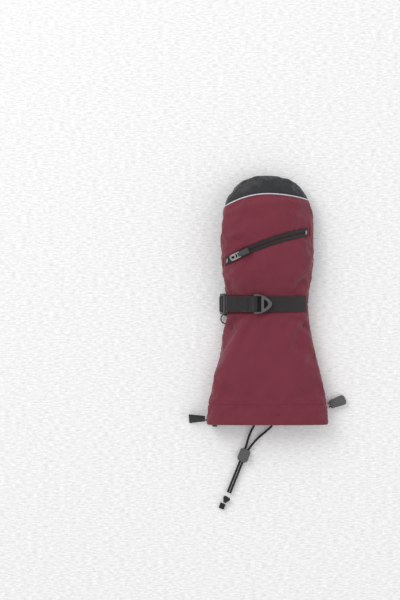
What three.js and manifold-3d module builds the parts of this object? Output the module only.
// A right-hand ski mitten with a long gauntlet cuff, lying on its palm with the thumb folded under it.
// X runs across the hand (thumb at -X), Y towards the fingertips, Z up from the surface it lies on.
import * as THREE from "three";
import { mergeVertices } from "three/addons/utils/BufferGeometryUtils.js";
import Module from "manifold-3d";

const wasm = await Module();
wasm.setup();

// Overall sizes, in millimetres
const handReach = 166; // strap line to fingertip
const cuffReach = 157; // strap line to hem
const handWidth = 120;
const wristWidth = 106;
const hemWidth = 158;
const handCrown = 27; // height of the back above its side seams
const wristCrown = 18;
const hemCrown = 18;

// Heights of the side seams above the surface
const thumbSeamZ = 31;
const outerSeamZ = 14;
const wristSeamZ = 16;
const hemSeamZ = 18;
const tipSeamZ = 17;

// Run of the shape along the hand
const tipReach = 71; // length of the rounded fingertip end
const tipPower = 2.4;
const handBlend = 60;
const seamBlend = 36;
const roundness = 0.85; // below 1 the sections are fuller than an ellipse
const sag = 3; // how far the underside would sink if nothing held it up

// Cloth thicknesses and the gap between layers
const gap = 0.3;
const shellWall = 1;
const pocketWall = 1.2;
const membraneWall = 0.5;
const paddingWall = 3.2;
const liningWall = 1.5;
const channelDepth = 26; // width of the drawcord hem
const hemCordRadius = 1.1;

// Thumb
const thumbRadius = 24;
const thumbRun = 52; // between the centres of its round ends
const thumbHeight = 20;
const thumbX = -22;
const thumbY = 38; // above the strap line
const thumbLean = -2; // degrees, towards the palm
const thumbSwing = 40; // degrees, outwards
const thumbHoleRadius = 15;
const thumbPadding = 2.3;
const thumbLiningWall = 1;

// Pocket zip across the back
const zipWidth = 10.5;
const zipLeft = -55;
const zipRight = 52;
const zipMidY = 78.5; // above the strap line, at the middle of the hand
const zipSlope = 0.36;
const zipArch = 4.8;
const zipTapeWall = 0.8;
const zipTeethGap = 1.4;
const zipCoilHeight = 1.1;
const sliderX = -41.7;
const sliderLength = 15;
const sliderWidth = 8;
const sliderWall = 1.8;
const pullLength = 12;
const pullWidth = 7;
const pullWall = 1.6;
const pocketWidth = 84;

// Fingertip cap and piping
const capDepth = 24;
const pipingRadius = 0.8;

// Wrist strap
const webWidth = 20;
const webWall = 1.3;
const lockLength = 25;
const lockWidth = 27;
const lockWall = 3.6;
const lockStandOff = 4.7; // from the side of the wrist to the lock's middle
const lockZ = 18.5;
const lockTilt = 78; // degrees from level
const barRadius = 1.3;
const loopWall = 1.2;
const tailEndX = -16.5;
const trianglePullWidth = 25.6;
const trianglePullLength = 24;
const trianglePullWall = 2.8;
const ringRadius = 6.2;
const ringWire = 0.8;

// Patch on the cuff
const patchWidth = 33.5;
const patchLength = 32;
const patchWall = 0.9;
const patchX = -1.5;
const patchY = -85.5; // from the strap line

// Drawcord fittings at the hem
const lockBarrelLength = 19;
const lockBarrelRadius = 4.6;
const lockBarrelWidth = 13;
const buttonLength = 4;
const buttonTravel = 3;
const fittingLift = 10.2; // the hem's thumb corner lies on the cord lock
const tabLength = 20.5;
const tabWidth = 17.5;
const tabWall = 1.8;
const tabTilt = 50;
const eyeletRadius = 4.9;
const eyeletHole = 2.8;
const eyeletWall = 0.6;
const cordEndLength = 21;
const cordEndWidth = 13;
const cordEndHeight = 7;

// Wrist leash
const leashRadius = 1.5;
const leashSpacing = 3.4;
const leashZ = 4.2;
const leashTurn = -22; // degrees from -Y, towards the thumb side
const leashSliderLength = 17;
const leashSliderWidth = 14;
const leashSliderHeight = 8;

const strapY = (cuffReach - handReach) / 2;
const tipY = strapY + handReach;
const hemY = strapY - cuffReach;
const tipStart = tipY - tipReach;
const tipEnd = tipStart + tipReach; // station of the fingertip

// Depths of the layers below the outer face
const pocketDepth = shellWall + 3 * gap;
const membraneDepth = pocketDepth + pocketWall + 3 * gap;
const paddingDepth = membraneDepth + membraneWall + gap;
const liningDepth = paddingDepth + paddingWall + 4 * gap;
const cavityDepth = liningDepth + liningWall;
const channelInside = shellWall + gap + 2 * hemCordRadius + gap;
const thumbGap = 0.7;

const red = { color: 0x80303f, roughness: 0.75, metalness: 0 };
const black = { color: 0x2a2c30, roughness: 0.7, metalness: 0 };
const palmBlack = { color: 0x2b2b2d, roughness: 0.5, metalness: 0 };
const webBlack = { color: 0x343132, roughness: 0.8, metalness: 0 };
const liningGrey = { color: 0x3a3a3e, roughness: 0.95, metalness: 0 };
const padWhite = { color: 0xd8d6d0, roughness: 0.95, metalness: 0 };
const membraneGrey = { color: 0xb9bec2, roughness: 0.4, metalness: 0 };
const plastic = { color: 0x4b4b4c, roughness: 0.5, metalness: 0 };
const silver = { color: 0xaaa5a5, roughness: 0.3, metalness: 1 };
const steel = { color: 0x8f9194, roughness: 0.35, metalness: 1 };
const reflective = { color: 0xd8d7dc, roughness: 0.45, metalness: 0 };

const mitten = new THREE.Group();
const degrees = THREE.MathUtils.degToRad;
const mix = THREE.MathUtils.lerp;
const clamp = THREE.MathUtils.clamp;
const ease = (s) => THREE.MathUtils.smoothstep(s, 0, 1);
const point = (x, y, z) => new THREE.Vector3(x, y, z);

// ---- solids ----

// A closed geometry as a solid, its doubled points joined and its faces turned out.
function solid(geometry) {
  const bare = geometry.clone();
  bare.deleteAttribute("normal");
  bare.deleteAttribute("uv");
  const merged = mergeVertices(bare, 1e-4);
  const at = merged.attributes.position.array;
  const faces = [];
  let volume = 0;
  for (let i = 0; i < merged.index.count; i += 3) {
    const [a, b, c] = [0, 1, 2].map((k) => merged.index.getX(i + k));
    if (a === b || b === c || c === a) continue;
    faces.push([a, b, c]);
    const [p, q, r] = [a, b, c].map((k) => new THREE.Vector3().fromArray(at, 3 * k));
    volume += p.dot(q.cross(r));
  }
  const turned = volume < 0 ? faces.map(([a, b, c]) => [a, c, b]) : faces;
  return new wasm.Manifold(
    new wasm.Mesh({
      numProp: 3,
      vertProperties: new Float32Array(at),
      triVerts: new Uint32Array(turned.flat()),
    }),
  );
}

function geometryOf(body) {
  const mesh = body.getMesh();
  const geometry = new THREE.BufferGeometry();
  geometry.setAttribute("position", new THREE.BufferAttribute(mesh.vertProperties, 3));
  geometry.setIndex(new THREE.BufferAttribute(mesh.triVerts, 1));
  geometry.computeVertexNormals();
  return geometry;
}

function add(name, body, finish, parent = mitten) {
  const mesh = new THREE.Mesh(geometryOf(body), new THREE.MeshStandardMaterial(finish));
  mesh.name = name;
  parent.add(mesh);
}

function moved(geometry, place) {
  const at = geometry.attributes.position;
  for (let i = 0; i < at.count; i += 1) {
    const p = place(at.getX(i), at.getY(i), at.getZ(i));
    at.setXYZ(i, p.x, p.y, p.z);
  }
  return geometry;
}

// Turns the diagonals of a slab's lower face, so that both faces match and slabs nest on one another.
function matchDiagonals(slab) {
  const lower = slab.groups[5];
  const index = slab.index.array;
  for (let i = lower.start; i < lower.start + lower.count; i += 6) {
    const [a, b, d, , c] = index.slice(i, i + 6);
    index.set([a, b, c, a, c, d], i);
  }
  return slab;
}

// A flat slab with its width, length and thickness laid over a surface by place(u, v, w), each 0 to 1.
function laid(across, along, place) {
  const slab = matchDiagonals(new THREE.BoxGeometry(1, 1, 1, across, along, 1));
  return solid(moved(slab, (x, y, z) => place(x + 0.5, y + 0.5, z + 0.5)));
}

// A closed outline of [depth, station] pairs carried once round the mitten's section.
const middle = 1000; // any radius larger than every depth
function sleeve(outline) {
  const ring = outline.map(([depth, station]) => new THREE.Vector2(middle - depth, station));
  ring.push(ring[0].clone());
  const lathe = new THREE.LatheGeometry(ring, columns);
  return solid(moved(lathe, (x, y, z) => skin(Math.atan2(z, x), y, middle - Math.hypot(x, z))));
}

function stations(from, to, steps) {
  return Array.from({ length: steps + 1 }, (_, i) => mix(from, to, i / steps));
}

// Stations and columns that all layers of the hand share, so that they nest
const tipShares = [0.22, 0.42, 0.62, 0.8, 0.93, 1]; // of the fingertip's length
const tipRows = tipShares.map((share) => {
  return tipStart + (Math.asin(share ** (tipPower / 2)) / (Math.PI / 2)) * tipReach;
});
const wristRow = strapY + 4;
const handRows = [...stations(strapY + 8, tipStart, 6), ...tipRows];
const columns = 24;

// The room inside the face at a depth, from the given stations to the fingertips.
function room(depth, from) {
  const ring = [...from, ...handRows].map((station) => new THREE.Vector2(middle - depth, station));
  ring.unshift(new THREE.Vector2(0, from[0]));
  const centre = (t) => point(0, t, seamZ(0, t) + 0.3 * section(t, 0).crown);
  return solid(
    moved(new THREE.LatheGeometry(ring, columns), (x, y, z) => {
      const radius = Math.hypot(x, z);
      return radius < 1 ? centre(y) : skin(Math.atan2(z, x), y, middle - radius);
    }),
  );
}

// A mitten-shaped layer: open at the first of the given stations and closed round the fingertips.
function pouch(outer, inner, from) {
  return room(outer, from).subtract(room(inner, [from[0] - 9, ...from]));
}

// A tube of the given radius along a smooth curve through the points.
function tube(points, radius, sides, steps, closed = false) {
  const outline = new THREE.Shape();
  for (let i = 0; i < sides; i += 1) {
    const a = (i / sides) * Math.PI * 2;
    outline[i ? "lineTo" : "moveTo"](radius * Math.cos(a), radius * Math.sin(a));
  }
  const path = new THREE.CatmullRomCurve3(points, closed);
  return solid(new THREE.ExtrudeGeometry(outline, { steps, extrudePath: path }));
}

function cylinder(radius, length, sides = 16, axis = "y") {
  const geometry = new THREE.CylinderGeometry(radius, radius, length, sides);
  if (axis === "x") geometry.rotateZ(Math.PI / 2);
  if (axis === "z") geometry.rotateX(Math.PI / 2);
  return solid(geometry);
}

function box(width, length, height) {
  return solid(new THREE.BoxGeometry(width, length, height));
}

// A plate from an outline, centred on its thickness.
function plate(shape, thickness) {
  const geometry = new THREE.ExtrudeGeometry(shape, {
    depth: thickness,
    bevelEnabled: false,
    curveSegments: 5,
  });
  return solid(geometry.translate(0, 0, -thickness / 2));
}

function roundedOutline(width, length, corner) {
  const shape = new THREE.Shape();
  const [w, l] = [width / 2 - corner, length / 2 - corner];
  shape.absarc(w, l, corner, 0, Math.PI / 2);
  shape.absarc(-w, l, corner, Math.PI / 2, Math.PI);
  shape.absarc(-w, -l, corner, Math.PI, Math.PI * 1.5);
  shape.absarc(w, -l, corner, Math.PI * 1.5, Math.PI * 2);
  return shape;
}

// ---- the mitten's outer face ----

const thumbAt = new THREE.Vector2(thumbX, strapY + thumbY);

// Distance from the area that the thumb sweeps, measured on the surface and eased off towards the sides.
function pastThumb(x, y) {
  let nearest = Infinity;
  for (let turn = thumbLean; turn <= thumbSwing; turn += 7) {
    const way = new THREE.Vector2(-Math.sin(degrees(turn)), Math.cos(degrees(turn)));
    const from = new THREE.Vector2(x, y).sub(thumbAt);
    const along = clamp(from.dot(way), 0, thumbRun);
    nearest = Math.min(nearest, from.distanceTo(way.multiplyScalar(along)));
  }
  const palmSide = 0.5 * Math.max(0, x - thumbX - thumbRadius);
  const eased = palmSide + 0.5 * Math.max(0, thumbX - thumbRadius / 2 - x);
  return nearest - thumbRadius - eased;
}

// Height of what the underside lies on: the surface, the folded thumb and the cord lock.
function bedZ(x, y) {
  const level = mix(1, 2.5, ease((y - thumbAt.y) / 30));
  const overThumb = (thumbHeight + thumbGap) * (1 - ease((pastThumb(x, y) - level) / 13));
  const corner = ease((-0.58 * hemWidth / 2 - x) / 9) * ease((hemY + channelDepth + 6 - y) / 14);
  return Math.max(overThumb, fittingLift * corner);
}

function seamZ(x, t) {
  const tip = ease((t - tipStart) / tipReach);
  const hand = ease((t - strapY) / seamBlend);
  const plain = mix(wristSeamZ, hemSeamZ, ease((strapY - t) / cuffReach));
  const thumbSide = mix(mix(plain, thumbSeamZ, hand), tipSeamZ, tip);
  const outerSide = mix(mix(plain, outerSeamZ, hand), tipSeamZ, tip);
  return mix(thumbSide, outerSide, ease(x / handWidth + 0.5));
}

// Width and height of the section at a station, at a depth below the outer face.
function section(t, depth) {
  const turn = (clamp((t - tipStart) / tipReach, 0, 1) * Math.PI) / 2;
  const taper = Math.cos(turn) ** (2 / tipPower);
  const hand = ease((t - strapY) / handBlend);
  const cuff = ease((strapY - t) / cuffReach);
  const width = wristWidth + (handWidth - wristWidth) * hand + (hemWidth - wristWidth) * cuff;
  const crown = wristCrown + (handCrown - wristCrown) * hand + (hemCrown - wristCrown) * cuff;
  const pastStart = (tipReach - depth) * Math.sin(turn) ** (2 / tipPower);
  return {
    y: turn > 0 ? tipStart + pastStart : t,
    half: (width / 2 - depth) * taper,
    crown: (crown - depth) * taper,
    taper,
  };
}

// A point of the outer face, or of the face a depth below it. Angle 0 is the outer side seam.
function skin(angle, t, depth) {
  const s = section(t, depth);
  const x = s.half * Math.cos(angle);
  const seam = seamZ(x, t);
  const rise = Math.abs(Math.sin(angle)) ** roundness;
  if (Math.sin(angle) >= 0) return point(x, s.y, seam + s.crown * rise);
  // Below the side seams the layers lie straight above one another
  const side = Math.cos(angle);
  const outerX = section(t, 0).half * side;
  const low = seam - (seam + sag) * s.taper * rise;
  const outerZ = Math.min(Math.max(low, bedZ(outerX, s.y)), seam);
  const inward = depth * s.taper;
  return point(outerX - inward * side ** 3, s.y, outerZ + inward * Math.sqrt(-Math.sin(angle)));
}

function stationAt(y, depth) {
  if (y <= tipStart) return y;
  const share = clamp((y - tipStart) / (tipReach - depth), 0, 1);
  return tipStart + (Math.asin(share ** (tipPower / 2)) / (Math.PI / 2)) * tipReach;
}

// The point of the back above x, y.
function onBack(x, y, depth) {
  const t = stationAt(y, depth);
  const angle = Math.acos(clamp(x / section(t, depth).half, -1, 1));
  return skin(angle, t, depth);
}

function backNormal(x, y) {
  const step = 0.5;
  const across = onBack(x + step, y, 0).sub(onBack(x - step, y, 0));
  const along = onBack(x, y + step, 0).sub(onBack(x, y - step, 0));
  return across.cross(along).normalize();
}

// ---- shell panels ----

const capEdgeY = (x) => tipY - capDepth - (x < 0 ? 14 : 7) * (x / 52) ** 2;

// Station of the cap seam at an angle round the section.
function capStation(angle, shift, depth) {
  let t = stationAt(capEdgeY(0) + shift, depth);
  for (let i = 0; i < 6; i += 1) {
    const x = section(t, depth).half * Math.cos(angle);
    t = stationAt(capEdgeY(x) + shift, depth);
  }
  return t;
}

const seamSlit = 0.9; // degrees kept free at a side seam by each panel
const backColumns = 13; // the back wraps round the thumb side by one column
const palmSeam = (360 * backColumns) / columns;
const backFrom = degrees(seamSlit);
const backTo = degrees(palmSeam - seamSlit);
const palmFrom = degrees(palmSeam + seamSlit);
const palmTo = degrees(360 - seamSlit);
const pipingRoom = pipingRadius + gap;
const panelStart = strapY + gap / 2;
const lastStation = tipEnd - 0.5; // panels stop just short of the fingertip's point
const palmRows = [panelStart, wristRow, ...handRows.slice(0, -1), lastStation];

const zipY = (x) => {
  const share = (x - zipLeft) / (zipRight - zipLeft);
  const chord = strapY + zipMidY + zipSlope * (x - (zipLeft + zipRight) / 2);
  return chord - zipArch * (2 * share - 1) ** 2;
};

// A strip along the zip line, between two offsets across it and two depths.
function zipStrip(from, to, low, high, top, bottom, steps) {
  return laid(steps, 1, (u, v, w) => {
    const x = mix(from, to, u);
    return onBack(x, zipY(x) + mix(low, high, v), mix(bottom, top, w));
  });
}

const column = (i, from, to) => clamp(degrees((360 * i) / columns), from, to);

// Both top panels share these columns; stationsAt gives their rows.
function topPanel(rows, stationsAt) {
  return laid(backColumns, rows, (u, v, w) => {
    const angle = column(Math.round(u * backColumns), backFrom, backTo);
    const depth = mix(shellWall, 0, w);
    return skin(angle, stationsAt(angle, depth)[Math.round(v * rows)], depth);
  });
}

function backShell() {
  const rows = 11;
  const panel = topPanel(rows, (angle, depth) =>
    stations(panelStart, capStation(angle, -pipingRoom, depth), rows),
  );
  const half = zipWidth / 2 + gap;
  const slot = zipStrip(zipLeft - gap, zipRight + gap, -half, half, -3, shellWall + 2, 14);
  return panel.subtract(slot);
}

function fingertipCap() {
  const ends = palmRows.slice(-3);
  return topPanel(4, (angle, depth) => {
    const edge = capStation(angle, pipingRoom, depth);
    return [edge, mix(edge, ends[0], 0.5), ...ends];
  });
}

function piping() {
  const points = [];
  for (let a = 12; a <= 168; a += 13) {
    const angle = degrees(a);
    points.push(skin(angle, capStation(angle, 0, 0.2), 0.2));
  }
  return tube(points, pipingRadius, 6, 20);
}

function thumbHole(radius) {
  return cylinder(radius, thumbHeight + 2, 16, "z").translate(thumbAt.x, thumbAt.y, thumbHeight + 3);
}

// The palm runs from the back's edge on the thumb side round to the outer seam.
function palmPanel() {
  const panel = laid(columns - backColumns, palmRows.length - 1, (u, v, w) => {
    const angle = column(backColumns + Math.round(u * (columns - backColumns)), palmFrom, palmTo);
    const row = palmRows[Math.round(v * (palmRows.length - 1))];
    return skin(angle, row, mix(shellWall, 0, w));
  });
  return panel.subtract(thumbHole(thumbHoleRadius));
}

add("back_shell", backShell(), red);
add("fingertip_cap", fingertipCap(), black);
add("reflective_piping", piping(), reflective);
add("palm_panel", palmPanel(), palmBlack);

const channelTop = hemY + channelDepth;
const hemCordY = hemY + channelDepth / 2;
const cuffTop = strapY - gap / 2;
const cuffRun = stations(cuffTop, channelTop + gap / 2, 6);
add(
  "cuff_shell",
  sleeve([...cuffRun.map((t) => [0, t]), ...cuffRun.map((t) => [shellWall, t]).reverse()]),
  red,
);

// The hem is folded to a channel for the drawcord; its rows pass through the cord's line.
const channelSkin = 0.9;
const foldY = hemY + channelSkin;
const channelRows = [...stations(channelTop - gap / 2, hemCordY, 2), ...stations(hemCordY, foldY, 2).slice(1)];
function hemBand() {
  const face = (depth) => channelRows.map((t) => [depth, t]);
  const inside = channelInside + channelSkin;
  return sleeve([
    ...face(0),
    [0, hemY],
    [inside, hemY],
    ...face(inside).reverse(),
    ...face(channelInside),
    ...face(shellWall).reverse(),
  ]);
}
add("hem_band", hemBand(), red);

function hemCord() {
  const middle = shellWall + gap + hemCordRadius;
  const round = [];
  for (let i = 0; i < 6; i += 1) {
    const a = (i / 6) * Math.PI * 2;
    round.push([middle + hemCordRadius * Math.cos(a), hemCordY + hemCordRadius * Math.sin(a)]);
  }
  return sleeve(round);
}
add("hem_cord", hemCord(), webBlack);

// ---- layers inside ----

const handLayersFrom = strapY - 12;
const layerStart = [handLayersFrom, wristRow];
const entry = thumbHole(thumbHoleRadius);
add(
  "waterproof_membrane",
  pouch(membraneDepth, membraneDepth + membraneWall, [wristRow]).subtract(entry),
  membraneGrey,
);
add(
  "hand_insulation",
  pouch(paddingDepth, paddingDepth + paddingWall, layerStart).subtract(entry),
  padWhite,
);
add("fleece_lining", pouch(liningDepth, cavityDepth, layerStart).subtract(entry), liningGrey);
const cuffLiningRun = stations(handLayersFrom - 3, channelTop + gap, 5);
const cuffLiningInside = channelInside + channelSkin;
add(
  "cuff_lining",
  sleeve([
    ...cuffLiningRun.map((t) => [channelInside, t]),
    ...cuffLiningRun.map((t) => [cuffLiningInside, t]).reverse(),
  ]),
  liningGrey,
);

const elasticDepth = shellWall + 1.5;
const elasticWall = 0.9;
// The elastic that gathers the palm side of the wrist
add(
  "wrist_elastic",
  laid(10, 1, (u, v, w) => {
    const angle = mix(degrees(200), degrees(340), u);
    return skin(angle, mix(strapY - 14, strapY - 4, v), mix(elasticDepth + elasticWall, elasticDepth, w));
  }),
  webBlack,
);

// A flat pouch behind the zip, open along its upper edge
function pocketBag() {
  const side = pocketWidth / 2;
  const sheet = (inset, top, bottom, over) =>
    laid(10, 5, (u, v, w) => {
      const x = mix(-side + inset, side - inset, u);
      const low = strapY + 12 + inset;
      return onBack(x, mix(low, zipY(x) - zipWidth / 2 - 2 + over, v), mix(bottom, top, w));
    });
  const skinWall = 0.5;
  const whole = sheet(0, pocketDepth, pocketDepth + pocketWall, 0);
  return whole.subtract(sheet(3, pocketDepth + skinWall, pocketDepth + pocketWall - skinWall, 2));
}
add("pocket_bag", pocketBag(), webBlack);

// ---- zip ----

const tapeTop = -0.3;
const tapeBottom = tapeTop + zipTapeWall;
const halfTape = zipWidth / 2;
const halfTeeth = zipTeethGap / 2;
for (const [name, low, high] of [
  ["zipper_tape_upper", halfTeeth, halfTape],
  ["zipper_tape_lower", -halfTape, -halfTeeth],
]) {
  add(name, zipStrip(zipLeft, zipRight, low, high, tapeTop, tapeBottom, 16), black);
}
const coilTop = tapeBottom + 2 * gap;
const coilFrom = zipLeft + 4;
const coilTo = zipRight - 4;
for (const [name, low, high] of [
  ["zipper_coil_upper", halfTeeth, halfTeeth + 1.5],
  ["zipper_coil_lower", -halfTeeth - 1.5, -halfTeeth],
]) {
  add(name, zipStrip(coilFrom, coilTo, low, high, coilTop, coilTop + zipCoilHeight, 16), black);
}
for (const [name, from] of [
  ["zipper_stop_start", zipLeft + 1.2],
  ["zipper_stop_end", zipRight - 3.2],
]) {
  const stopTop = tapeTop - gap;
  add(name, zipStrip(from, from + 2, -halfTeeth - 1.6, halfTeeth + 1.6, stopTop - 0.9, stopTop, 1), silver);
}

// The slider rides on a circle through three points of the zip line, just clear of the tapes.
const sliderLift = 1.5;
const travelEnd = zipRight - 12;
const onZip = (x) => onBack(x, zipY(x), 0).addScaledVector(backNormal(x, zipY(x)), sliderLift);
const travelStops = [sliderX, (sliderX + travelEnd) / 2, travelEnd];
const travel = travelStops.map(onZip);
const zipCircle = (() => {
  const [a, b, c] = travel;
  const ab = b.clone().sub(a);
  const ac = c.clone().sub(a);
  const axis = ab.clone().cross(ac);
  const centre = axis.clone().cross(ab).multiplyScalar(ac.lengthSq());
  centre.add(ac.clone().cross(axis).multiplyScalar(ab.lengthSq()));
  centre.divideScalar(2 * axis.lengthSq()).add(a);
  const radius = centre.distanceTo(a);
  const from = a.clone().sub(centre);
  const to = c.clone().sub(centre);
  return { axis: axis.normalize(), centre, radius, angle: from.angleTo(to) };
})();

const sliderFrame = new THREE.Group();
const sliderUp = point(0, 0, 0);
travelStops.forEach((x, i) => {
  sliderUp.add(backNormal(x, zipY(x)).applyAxisAngle(zipCircle.axis, (-zipCircle.angle * i) / 2));
});
sliderUp.normalize();
const sliderAlong = onZip(sliderX + 3).sub(onZip(sliderX - 3));
sliderAlong.addScaledVector(sliderUp, -sliderAlong.dot(sliderUp)).normalize();
const sliderAcross = sliderUp.clone().cross(sliderAlong);
sliderFrame.applyMatrix4(
  new THREE.Matrix4().makeBasis(sliderAlong, sliderAcross, sliderUp).setPosition(travel[0]),
);
mitten.add(sliderFrame);

const crossbarRadius = 0.7;
const crossbarX = sliderLength / 2 - 1.6;
const crossbarZ = sliderWall + crossbarRadius + gap + 0.8 + 0.35;
function zipperSlider() {
  const outline = roundedOutline(sliderLength, sliderWidth, 3);
  const hole = new THREE.Path();
  hole.absellipse(-3.2, 0, 2.2, 1.7, 0, Math.PI * 2);
  outline.holes.push(hole);
  let body = plate(outline, sliderWall).translate(0, 0, sliderWall / 2);
  body = body.subtract(box(1.8, 4.6, 4).translate(1.6, 0, 1));
  for (const side of [-1, 1]) {
    const cheek = box(2.4, 1, crossbarZ);
    body = body.add(cheek.translate(crossbarX, side * (sliderWidth / 2 - 0.6), crossbarZ / 2 + 0.6));
  }
  return body.add(cylinder(crossbarRadius, sliderWidth - 0.8, 10).translate(crossbarX, 0, crossbarZ));
}
function zipperPull() {
  const eye = cylinder(crossbarRadius + gap + 0.8, sliderWidth - 3.2, 14);
  const tab = roundedOutline(pullLength, pullWidth, 2);
  const body = plate(tab, pullWall).translate(pullLength / 2 + 1.4, 0, 0);
  return eye
    .add(body)
    .subtract(cylinder(crossbarRadius + gap, sliderWidth, 14))
    .translate(crossbarX, 0, crossbarZ);
}
add("zipper_slider", zipperSlider(), silver, sliderFrame);
add("zipper_pull", zipperPull(), plastic, sliderFrame);

// ---- thumb ----

// The flattened thumb, a depth below its outer face.
function thumbBody(depth) {
  const radius = thumbRadius - depth;
  const half = thumbHeight / 2 - depth;
  const form = new THREE.CapsuleGeometry(radius, thumbRun, 4, 16);
  return solid(
    moved(form.translate(0, thumbRun / 2, 0), (x, y, z) =>
      point(x, y, thumbHeight / 2 + clamp((z / radius) * 1.25, -1, 1) * half),
    ),
  );
}
function thumbLayer(outer, inner) {
  const hole = cylinder(thumbHoleRadius, thumbHeight, 16, "z").translate(0, 0, thumbHeight);
  return thumbBody(outer).subtract(thumbBody(inner)).subtract(hole);
}
const thumbFrame = new THREE.Group();
thumbFrame.position.set(thumbAt.x, thumbAt.y, 0);
thumbFrame.rotation.z = degrees(thumbLean);
mitten.add(thumbFrame);
const thumbPadDepth = shellWall + gap;
const thumbLiningDepth = thumbPadDepth + thumbPadding + gap;
add("thumb_shell", thumbLayer(0, shellWall), palmBlack, thumbFrame);
add("thumb_insulation", thumbLayer(thumbPadDepth, thumbPadDepth + thumbPadding), padWhite, thumbFrame);
add("thumb_lining", thumbLayer(thumbLiningDepth, thumbLiningDepth + thumbLiningWall), liningGrey, thumbFrame);

// ---- wrist strap ----

// Webbing lies flat across its width, so it rests on the highest (or under the lowest) line below it.
const webLines = [-1, -0.5, 0, 0.5, 1].map((s) => strapY + (s * webWidth) / 2);
const backZ = (x) => Math.max(...webLines.map((y) => onBack(x, y, 0).z));
function underZ(x) {
  const heights = webLines.map((y) => skin(-Math.acos(x / section(y, 0).half), y, 0).z);
  return Math.min(...heights);
}

// Points along a line of heights, moved off it by a distance; the sign of the step says which way out is.
function offLine(heightAt, from, to, steps, distance) {
  return stations(from, to, steps).map((x) => {
    const slope = (heightAt(x + 0.5) - heightAt(x - 0.5)) / 1;
    const out = point(-slope, 0, 1).normalize();
    return point(x, strapY, heightAt(x)).addScaledVector(out, distance);
  });
}

// A flat band of the strap's width along a smooth line in the XZ plane.
function webbing(points, steps, width = webWidth) {
  const line = new THREE.CatmullRomCurve3(points);
  return laid(steps, 1, (u, v, w) => {
    const way = line.getTangent(u);
    const off = point(-way.z, 0, way.x).multiplyScalar((w - 0.5) * webWall);
    return line.getPoint(u).add(off).add(point(0, (v - 0.5) * width, 0));
  });
}

// The ladder lock's own frame: x up along it, y across the strap, z outwards.
const lockX = -wristWidth / 2 - lockStandOff;
const lockFrame = new THREE.Group();
lockFrame.position.set(lockX, strapY, lockZ);
lockFrame.rotation.y = -degrees(lockTilt);
mitten.add(lockFrame);
const lockUp = point(Math.cos(degrees(lockTilt)), 0, Math.sin(degrees(lockTilt)));
const onLock = (along) => point(lockX, strapY, lockZ).addScaledVector(lockUp, along);
const anchorBar = -lockLength / 2 + barRadius + gap + loopWall;
const middleBar = 0.6;
const topBar = 3.6; // width of the solid top
const slotWidth = webWidth + 1.4;
const eyeRadius = barRadius + gap + loopWall;

function ladderLock() {
  const outline = plate(roundedOutline(lockLength, lockWidth, 6), lockWall);
  const room = lockLength - topBar;
  let body = outline.subtract(box(room + 2, slotWidth, lockWall + 2).translate(-topBar / 2 - 1, 0, 0));
  for (const x of [anchorBar, middleBar]) {
    body = body.add(cylinder(barRadius, slotWidth + 1, 12).translate(x, 0, 0));
  }
  return body;
}
add("ladder_lock", ladderLock(), plastic, lockFrame);

// A loop of webbing round a bar, with a straight lead towards a point.
function webLoop(at, towards) {
  const run = towards.clone().sub(at);
  const strip = box(run.length(), webWidth, webWall).translate(run.length() / 2, 0, 0);
  const turned = strip.rotate([0, THREE.MathUtils.radToDeg(Math.atan2(-run.z, run.x)), 0]);
  const eye = cylinder(eyeRadius, webWidth, 14).add(turned);
  return eye.subtract(cylinder(barRadius + gap, webWidth + 2, 14)).translate(at.x, at.y, at.z);
}

// Anchor webbing, sewn under the thumb side of the wrist and looped round the lock's lower bar
const sewnFrom = -0.74 * (wristWidth / 2);
const sewnTo = -0.94 * (wristWidth / 2);
const sewnLine = offLine(underZ, sewnFrom, sewnTo, 4, -2 * gap - webWall / 2);
add(
  "strap_anchor",
  webbing(sewnLine, 6).add(webLoop(onLock(anchorBar), sewnLine.at(-1))),
  webBlack,
);

// The strap comes over the back from its seam on the outer side.
const strapEndX = -0.915 * (wristWidth / 2);
const strapSewnX = 0.93 * (wristWidth / 2);
const strapOff = 1.5 * gap + webWall / 2;
const strapLine = offLine(backZ, strapEndX, strapSewnX, 14, strapOff);
add("base_strap", webbing(strapLine, 16), webBlack);

// The strap's turn round the middle bar of the lock
const turnAt = onLock(middleBar);
const turnLead = strapLine[0].clone().sub(turnAt);
turnLead.setLength(turnLead.length() - 2 * gap - 0.4);
add("strap_turn", webLoop(turnAt, turnAt.clone().add(turnLead)), webBlack);

// The tail comes back over the lock and the strap, and ends in an eye that holds the pull.
const tailOff = strapOff + webWall + gap;
const tailLeadX = -0.62 * (wristWidth / 2);
const eyeTopZ = Math.max(...stations(tailEndX - 3, tailEndX + trianglePullLength, 9).map(backZ));
const eyeZ = eyeTopZ + strapOff + webWall / 2 + 2 * gap + eyeRadius;
const tailStart = onLock(lockLength / 2).add(point(1.6, 0, webWall / 2 + 2 * gap));
function strapTail() {
  const over = offLine(backZ, tailLeadX, tailEndX - 7, 3, tailOff);
  const end = point(tailEndX - eyeRadius + 0.6, strapY, eyeZ);
  const eye = cylinder(eyeRadius, webWidth, 14);
  const hole = cylinder(barRadius + gap, webWidth + 2, 14);
  return webbing([tailStart, ...over, end], 10)
    .add(eye.translate(tailEndX, strapY, eyeZ))
    .subtract(hole.translate(tailEndX, strapY, eyeZ));
}
add("strap_tail", strapTail(), webBlack);

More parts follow.
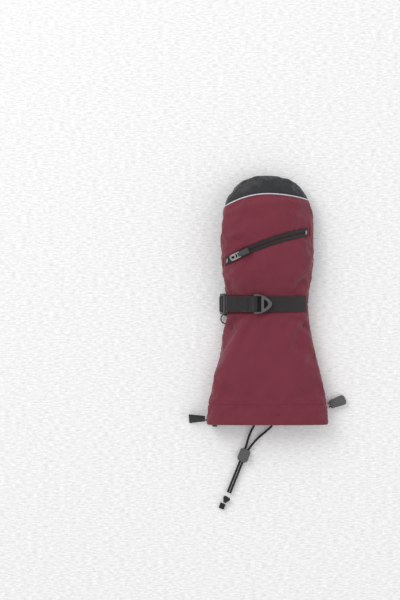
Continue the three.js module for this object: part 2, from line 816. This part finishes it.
// The three-cornered pull: a bar in the webbing's eye, an open slot, and a rounded nose with a window
const pullFrame = new THREE.Group();
pullFrame.position.set(tailEndX, strapY, eyeZ);
mitten.add(pullFrame);
function trianglePull() {
  const half = trianglePullWidth / 2;
  const back = -2.2;
  const nose = back + trianglePullLength;
  const outline = new THREE.Shape();
  outline.moveTo(back, -half + 3);
  outline.quadraticCurveTo(back, -half, back + 3, -half);
  outline.quadraticCurveTo(nose - 8, -half + 1, nose - 1, -3);
  outline.quadraticCurveTo(nose + 1, 0, nose - 1, 3);
  outline.quadraticCurveTo(nose - 8, half - 1, back + 3, half);
  outline.quadraticCurveTo(back, half, back, half - 3);
  const slotEnd = 8;
  const room = box(slotEnd + 6, webWidth + 0.8, 8).translate(slotEnd / 2 - 3, 0, 0);
  const window = new THREE.Shape();
  window.moveTo(slotEnd + 3.2, -6);
  window.quadraticCurveTo(slotEnd + 8, -4.4, nose - 4.6, 0);
  window.quadraticCurveTo(slotEnd + 8, 4.4, slotEnd + 3.2, 6);
  const body = plate(outline, trianglePullWall).subtract(room).subtract(plate(window, 8));
  return body.add(cylinder(barRadius, webWidth + 3, 12));
}
add("triangle_pull", trianglePull(), plastic, pullFrame);

// The clip ring lies under the thumb side on a short webbing loop from the strap's anchor.
const ringFrame = new THREE.Group();
ringFrame.position.set(-wristWidth / 2 - 1.2, strapY - webWidth / 2 - 3.2, 3.4);
mitten.add(ringFrame);
const ringLoopLength = 4;
const ringLoopInner = ringWire + 0.55;
const ringLoopOuter = ringLoopInner + 0.8;
function ringLoop() {
  const lead = box(ringLoopLength, 1, 4).translate(0, ringLoopInner + 0.4, 2);
  const outer = cylinder(ringLoopOuter, ringLoopLength, 12, "x").add(lead);
  return outer.subtract(cylinder(ringLoopInner, ringLoopLength + 2, 12, "x"));
}
const ring = solid(new THREE.TorusGeometry(ringRadius, ringWire, 6, 18));
add("clip_ring", ring.translate(0, -ringRadius, 0), steel, ringFrame);
add("ring_loop", ringLoop(), webBlack, ringFrame);

// ---- patch ----

function patch() {
  const grid = new THREE.BoxGeometry(1, 1, 1, 6, 6, 1);
  const blank = solid(moved(grid, (x, y, z) => point(x * (patchWidth + 8), y * (patchLength + 8), z)));
  const trimmed = blank.intersect(plate(roundedOutline(patchWidth, patchLength, 4), 4));
  return solid(
    moved(geometryOf(trimmed), (x, y, z) =>
      onBack(patchX + x, strapY + patchY + y, -gap - 0.3 - (z + 0.5) * patchWall),
    ),
  );
}
add("cuff_patch", patch(), reflective);

// ---- drawcord fittings ----

const fittingY = strapY - 149.5;
const barrelX = -hemWidth / 2 + lockBarrelLength / 2 + 1.2;
const barrelZ = lockBarrelRadius + gap / 2;
const strandRadius = 1.1;
const strandGap = 2 * strandRadius - 0.1; // the two strands are pressed together, one over the other
const strandY = -2;
const lockFit = new THREE.Group();
lockFit.position.set(barrelX, fittingY, barrelZ);
mitten.add(lockFit);

// The cord lock: its passage runs across the hand, its button comes out on the hem side.
const boreRadius = lockBarrelRadius - 1.1;
const buttonRadius = boreRadius - gap;
const endWall = 1.6;
const boreEnd = lockBarrelWidth / 2 - endWall;
const slotAcross = 2 * strandRadius + 2 * gap;
const slotHigh = strandGap + slotAcross;
const buttonEnd = boreEnd - buttonTravel - 1;
function cordLockBody() {
  const round = cylinder(lockBarrelRadius, lockBarrelWidth, 20);
  const wings = plate(roundedOutline(lockBarrelLength, lockBarrelWidth - 1.6, 4), 6.4);
  const bore = cylinder(boreRadius, lockBarrelWidth, 16).translate(0, -endWall, 0);
  const passage = box(lockBarrelLength + 4, slotAcross, slotHigh).translate(0, strandY, 0);
  return round.add(wings).subtract(bore).subtract(passage);
}
function cordLockButton() {
  const outside = -lockBarrelWidth / 2 - buttonLength;
  const stem = cylinder(buttonRadius, buttonEnd - outside, 16).translate(0, (buttonEnd + outside) / 2, 0);
  const slot = box(lockBarrelLength, slotAcross + buttonTravel, slotHigh);
  return stem.subtract(slot.translate(0, strandY - buttonTravel / 2, 0));
}
function cordLockSpring() {
  const turns = 2;
  const steps = 8 * turns;
  const points = stations(0, 1, steps).map((share) => {
    const a = share * turns * Math.PI * 2;
    const y = mix(buttonEnd + 0.6, boreEnd - 0.6, share);
    return point((buttonRadius - 1) * Math.cos(a), y, (buttonRadius - 1) * Math.sin(a));
  });
  return tube(points, 0.3, 5, steps);
}
add("cord_lock_body", cordLockBody(), plastic, lockFit);
add("cord_lock_button", cordLockButton(), plastic, lockFit);
add("cord_lock_spring", cordLockSpring(), steel, lockFit);

// Where a straight line down from the hem's underside meets nothing: the height of the hem above x, y
const hemUnderZ = (x, y) => skin(-Math.acos(x / section(y, 0).half), y, 0).z;

// Cloth tie from the hem's underside to the cord lock
const tieX = barrelX + lockBarrelLength / 2 + 2 * gap;
function lockTie() {
  const width = 9;
  const high = hemUnderZ(tieX + 5, fittingY + 6) - 1.4;
  const shape = new THREE.Shape();
  shape.moveTo(0, -width / 2);
  shape.lineTo(8, -width / 2 + 3);
  shape.lineTo(8, width / 2);
  shape.lineTo(0, width / 2);
  return plate(shape, 1.2).translate(tieX, fittingY + 1.6, Math.max(1, high / 2));
}
add("cord_lock_tie", lockTie(), webBlack);

// Webbing tab on the cord's outer end. It lies on one edge, tilted, and the cord runs into its inner end.
const tabX = -hemWidth / 2 - 2;
const tabLift = (tabWidth / 2) * Math.sin(degrees(tabTilt)) + (tabWall / 2) * Math.cos(degrees(tabTilt));
const tabFrame = new THREE.Group();
tabFrame.position.set(tabX, fittingY, tabLift + gap / 2);
mitten.add(tabFrame);
function hemTab() {
  const tab = new THREE.Shape();
  tab.moveTo(0, -5);
  tab.lineTo(-tabLength, -tabWidth / 2);
  tab.lineTo(-tabLength - 0.8, tabWidth / 2);
  tab.lineTo(0, 5);
  return plate(tab, tabWall).rotate([tabTilt, 0, 0]);
}
add("hem_pull_tab", hemTab(), webBlack, tabFrame);

// The two strands from the lock into the tab
const strandFrom = barrelX - lockBarrelLength / 2 - gap;
const tabStrands = cylinder(strandRadius, strandFrom - tabX - gap, 8, "x");
const strandMiddle = (strandFrom + tabX + gap) / 2;
add(
  "drawcord_end",
  tabStrands
    .translate(strandMiddle, fittingY + strandY, barrelZ - strandGap / 2)
    .add(tabStrands.translate(strandMiddle, fittingY + strandY, barrelZ + strandGap / 2)),
  webBlack,
);

// Moulded grip at the other end of the drawcord, on a loop that comes out of the outer side of the hem
const gripAt = point(hemWidth / 2 + 3.4, strapY - 131.4, cordEndHeight / 2 + gap / 2);
const gripTurn = 21;
const gripFrame = new THREE.Group();
gripFrame.position.copy(gripAt);
gripFrame.rotation.z = degrees(gripTurn);
mitten.add(gripFrame);
function cordGrip() {
  const shape = new THREE.Shape();
  const half = cordEndWidth / 2;
  shape.moveTo(0, -half + 1.4);
  shape.lineTo(cordEndLength - 5, -half);
  shape.quadraticCurveTo(cordEndLength, -half, cordEndLength, -half + 5);
  shape.lineTo(cordEndLength, half - 5);
  shape.quadraticCurveTo(cordEndLength, half, cordEndLength - 5, half);
  shape.lineTo(0, half - 1.4);
  const socket = box(9, 7.4, 3);
  return plate(shape, cordEndHeight).subtract(socket);
}
add("cord_grip", cordGrip(), plastic, gripFrame);

function gripLoop() {
  const shape = [point(-3.2, -2.4, 0), point(1, -2.4, 0), point(3, -1.3, 0), point(3, 1.3, 0)];
  shape.push(point(1, 2.4, 0), point(-3.2, 2.4, 0));
  return tube(shape, 0.8, 6, 14);
}
add("grip_loop", gripLoop(), webBlack, gripFrame);

// Metal eyelet in the underside of the hem, where the drawcord comes out
const eyeletY = hemY + 7;
const slopeFoot = skin(degrees(240), eyeletY, 0); // it lies in the slope up to the cord lock
const slopeHead = skin(degrees(225), eyeletY, 0);
const eyeletFrame = new THREE.Group();
eyeletFrame.position.copy(slopeFoot).add(slopeHead).multiplyScalar(0.5);
eyeletFrame.rotation.y = Math.atan2(slopeHead.z - slopeFoot.z, slopeFoot.x - slopeHead.x);
mitten.add(eyeletFrame);
function eyelet() {
  const rim = plate(new THREE.Shape().absarc(0, 0, eyeletRadius, 0, Math.PI * 2), eyeletWall);
  const hole = cylinder(eyeletHole, 4, 12, "z");
  return rim.subtract(hole).translate(0, 0, -eyeletWall / 2 - 2 * gap);
}
add("hem_eyelet", eyelet(), silver, eyeletFrame);

// ---- wrist leash ----

// Two elastic strands from inside the cuff, through the slider, to a knot, given by their centre lines.
const leashRun = [
  point(-31.1, -199.2, leashZ),
  point(-34.8, -208.4, leashZ),
  point(-40.4, -222.3, leashZ),
  point(-47.1, -239, leashZ),
  point(-51.6, -250.2, leashZ),
];
const leashAside = point(Math.cos(degrees(leashTurn)), Math.sin(degrees(leashTurn)), 0);
leashAside.multiplyScalar(leashSpacing);
const leashA = [
  point(-12, -142, 7.4),
  point(-14, -152, 7.4),
  point(-16.4, -161, 7.2),
  point(-21, -170.5, 4.4),
  point(-24.6, -180, 3.6),
  point(-27.6, -190.2, 4),
  ...leashRun,
];
const leashB = [
  point(9, -142, 7.4),
  point(9.4, -152, 7.4),
  point(7.2, -161, 7.2),
  point(-1.5, -170.5, 4.4),
  point(-12, -179.5, 3.6),
  point(-21.5, -190.5, 4),
  ...leashRun.map((p) => p.clone().add(leashAside)),
];
add("leash_strand_a", tube(leashA, leashRadius, 6, 24), webBlack);
add("leash_strand_b", tube(leashB, leashRadius, 6, 26), webBlack);

const leashFrame = new THREE.Group();
leashFrame.position.set(-30.4, -202, leashZ);
leashFrame.rotation.z = degrees(leashTurn);
mitten.add(leashFrame);
function leashSlider() {
  const body = plate(roundedOutline(leashSliderWidth, leashSliderLength, 4), leashSliderHeight);
  const passage = box(leashSpacing + 2 * leashRadius + 2.4, leashSliderLength + 2, 2 * leashRadius + 1.2);
  return body.subtract(passage);
}
add("leash_slider", leashSlider(), plastic, leashFrame);

const knotFrame = new THREE.Group();
knotFrame.position.set(-53.4, -259.4, 5);
knotFrame.rotation.z = degrees(leashTurn);
mitten.add(knotFrame);
const knot = new THREE.SphereGeometry(1, 14, 10).scale(5.4, 5.8, 4.8);
add("leash_knot", solid(knot), webBlack, knotFrame);
add("leash_tail", box(7, 7.4, 3.2).translate(-1.6, -10.2, -3), webBlack, knotFrame);

// The strands are sewn to the lining under a strip of webbing.
add("leash_anchor", box(30, 8, 1.4).translate(-1.5, -137.4, 7.4), webBlack);

export default mitten;
